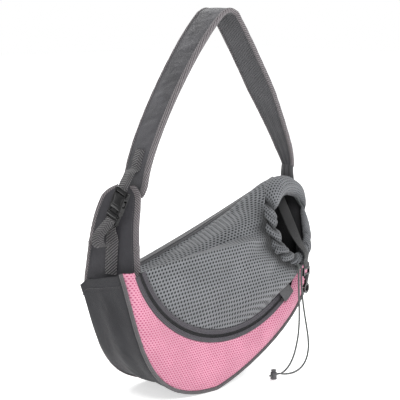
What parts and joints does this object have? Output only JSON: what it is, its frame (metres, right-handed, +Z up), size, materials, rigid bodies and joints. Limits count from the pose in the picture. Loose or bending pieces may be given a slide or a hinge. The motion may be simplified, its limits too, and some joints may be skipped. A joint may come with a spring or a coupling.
{
  "type": "pet carrier bag",
  "caption": "Single-shoulder sling bag that carries a small pet, with a zipped mesh cover, gathered head opening, buckled padded strap and safety tether.",
  "frame": {"origin": "on the floor, in the middle of the bag's width and near the middle of its length", "axes": "+X along the bag towards the head opening, -Y to the front with the zip, +Y to the wearer, +Z up through the raised strap"},
  "size_m": [0.4858, 0.1771, 0.6921],
  "materials": {
    "pink_mesh": "perforated polyester mesh, matte",
    "grey_mesh": "perforated polyester mesh, matte",
    "dark_nylon": "smooth coated nylon, satin",
    "strap_nylon": "fine woven nylon, satin",
    "strap_mesh": "knitted lining, matte",
    "binding_tape": "woven edging tape with diagonal ribs",
    "zip_tape": "woven zip tape, matte",
    "zip_coil": "moulded nylon coil",
    "webbing": "ribbed polypropylene webbing",
    "black_webbing": "ribbed polypropylene webbing",
    "buckle_plastic": "satin moulded acetal",
    "grey_plastic": "moulded plastic",
    "black_metal": "black enamel",
    "foam": "closed-cell foam",
    "cord": "braided cord",
    "spring_steel": "wire"
  },
  "bodies": {
    "bag": {"front_panel": "pink_mesh", "back_panel": "pink_mesh", "gusset": "dark_nylon", "base_pad": "foam", "end_pocket": "dark_nylon", "pocket_hem": "dark_nylon", "seam_binding_front": "binding_tape", "seam_binding_back": "binding_tape", "back_hem": "strap_nylon", "cover_left": "grey_mesh", "zip_tape_lower": "zip_tape", "zip_tape_left": "zip_tape", "zip_chain": "zip_coil", "strap_panel": "strap_nylon", "strap_panel_lining": "strap_mesh", "strap_panel_binding_front": "binding_tape", "strap_panel_binding_back": "binding_tape", "anchor_webbing": "webbing", "webbing_tail": "webbing", "keeper_band": "binding_tape", "right_strap_root": "strap_nylon", "buckle_socket": "buckle_plastic", "buckle_plug": "buckle_plastic"},
    "cover": {"mesh_cover": "grey_mesh", "zip_tape_upper": "zip_tape", "hood_collar": "grey_mesh", "drawstring_loop": "cord", "tether_anchor": "black_webbing"},
    "tab": {"zip_end_tab": "strap_nylon"},
    "slider": {"zip_slider": "black_metal"},
    "pull": {"zip_pull": "black_metal"},
    "strap": {"strap_outer": "strap_nylon", "strap_foam": "foam", "strap_lining": "strap_mesh", "strap_binding_front": "binding_tape", "strap_binding_back": "binding_tape", "upper_webbing": "webbing"},
    "tether": {"tether_webbing": "black_webbing", "hook_eye": "buckle_plastic"},
    "hook": {"hook_body": "buckle_plastic"},
    "gate": {"hook_gate": "buckle_plastic"},
    "tail": {"drawstring_tail": "cord", "cord_lock_barrel": "grey_plastic"},
    "plunger": {"cord_lock_plunger": "grey_plastic", "cord_lock_spring": "spring_steel"},
    "prong_l": {"prong_left": "buckle_plastic"},
    "prong_r": {"prong_right": "buckle_plastic"}
  },
  "joints": [
    {"name": "cover_lift", "type": "hinge", "parent": "bag", "child": "cover", "pos_m": [0.141, 0.04, 0.338], "axis": [-0.9326, 0, -0.361], "range_deg": [0, 70]},
    {"name": "zip_slide", "type": "hinge", "parent": "bag", "child": "slider", "pos_m": [-0.01, -0.068, 0.321], "axis": [0, 1, 0], "range_deg": [0, 106]},
    {"name": "zip_pull_flip", "type": "hinge", "parent": "slider", "child": "pull", "pos_m": [0.13663, -0.0731, 0.15232], "axis": [0.6561, 0, -0.7547], "range_deg": [-60, 0]},
    {"name": "tab_lift", "type": "hinge", "parent": "cover", "child": "tab", "pos_m": [0.12199, -0.0762, 0.16089], "axis": [-0.7716, 0, -0.6361], "range_deg": [0, 100]},
    {"name": "strap_fold", "type": "hinge", "parent": "bag", "child": "strap", "pos_m": [0, 0, 0.397], "axis": [-1, 0, 0], "range_deg": [-35, 85]},
    {"name": "prong_right_squeeze", "type": "hinge", "parent": "bag", "child": "prong_r", "pos_m": [-0.22261, 0.0002, 0.34754], "axis": [0.9703, 0, -0.2419], "range_deg": [0, 8], "stiffness_Nm_per_rad": 0.002},
    {"name": "prong_left_squeeze", "type": "hinge", "parent": "bag", "child": "prong_l", "pos_m": [-0.22388, -0.01807, 0.34246], "axis": [0.9703, 0, -0.2419], "range_deg": [-8, 0]},
    {"name": "tether_hang", "type": "hinge", "parent": "cover", "child": "tether", "pos_m": [0.166, -0.0935, 0.2135], "axis": [-0.9326, 0, -0.361], "range_deg": [-17.5, 0]},
    {"name": "hook_swivel", "type": "hinge", "parent": "tether", "child": "hook", "pos_m": [0.167, -0.0945, 0.184], "axis": [0, 0, 1], "continuous": true},
    {"name": "gate_open", "type": "hinge", "parent": "hook", "child": "gate", "pos_m": [0.1592, -0.09703, 0.1658], "axis": [0.309, -0.9511, 0], "range_deg": [0, 22], "stiffness_Nm_per_rad": 0.01},
    {"name": "tail_hang", "type": "hinge", "parent": "cover", "child": "tail", "pos_m": [0.145, -0.096, 0.206], "axis": [-0.9326, 0, -0.361], "range_deg": [-17.5, 0]},
    {"name": "lock_press", "type": "slide", "parent": "tail", "child": "plunger", "axis": [0, 0, -1], "range_m": [0, 0.0025], "stiffness_N_per_m": 200, "deforming": ["cord_lock_spring"]}
  ],
  "couplings": [
    {"joint": "zip_slide", "follows": "cover_lift", "ratio": 1.5},
    {"joint": "zip_pull_flip", "follows": "tab_lift", "ratio": -0.6},
    {"joint": "tether_hang", "follows": "cover_lift", "ratio": -0.25},
    {"joint": "tail_hang", "follows": "cover_lift", "ratio": -0.25},
    {"joint": "prong_left_squeeze", "follows": "prong_right_squeeze", "ratio": -1}
  ]
}
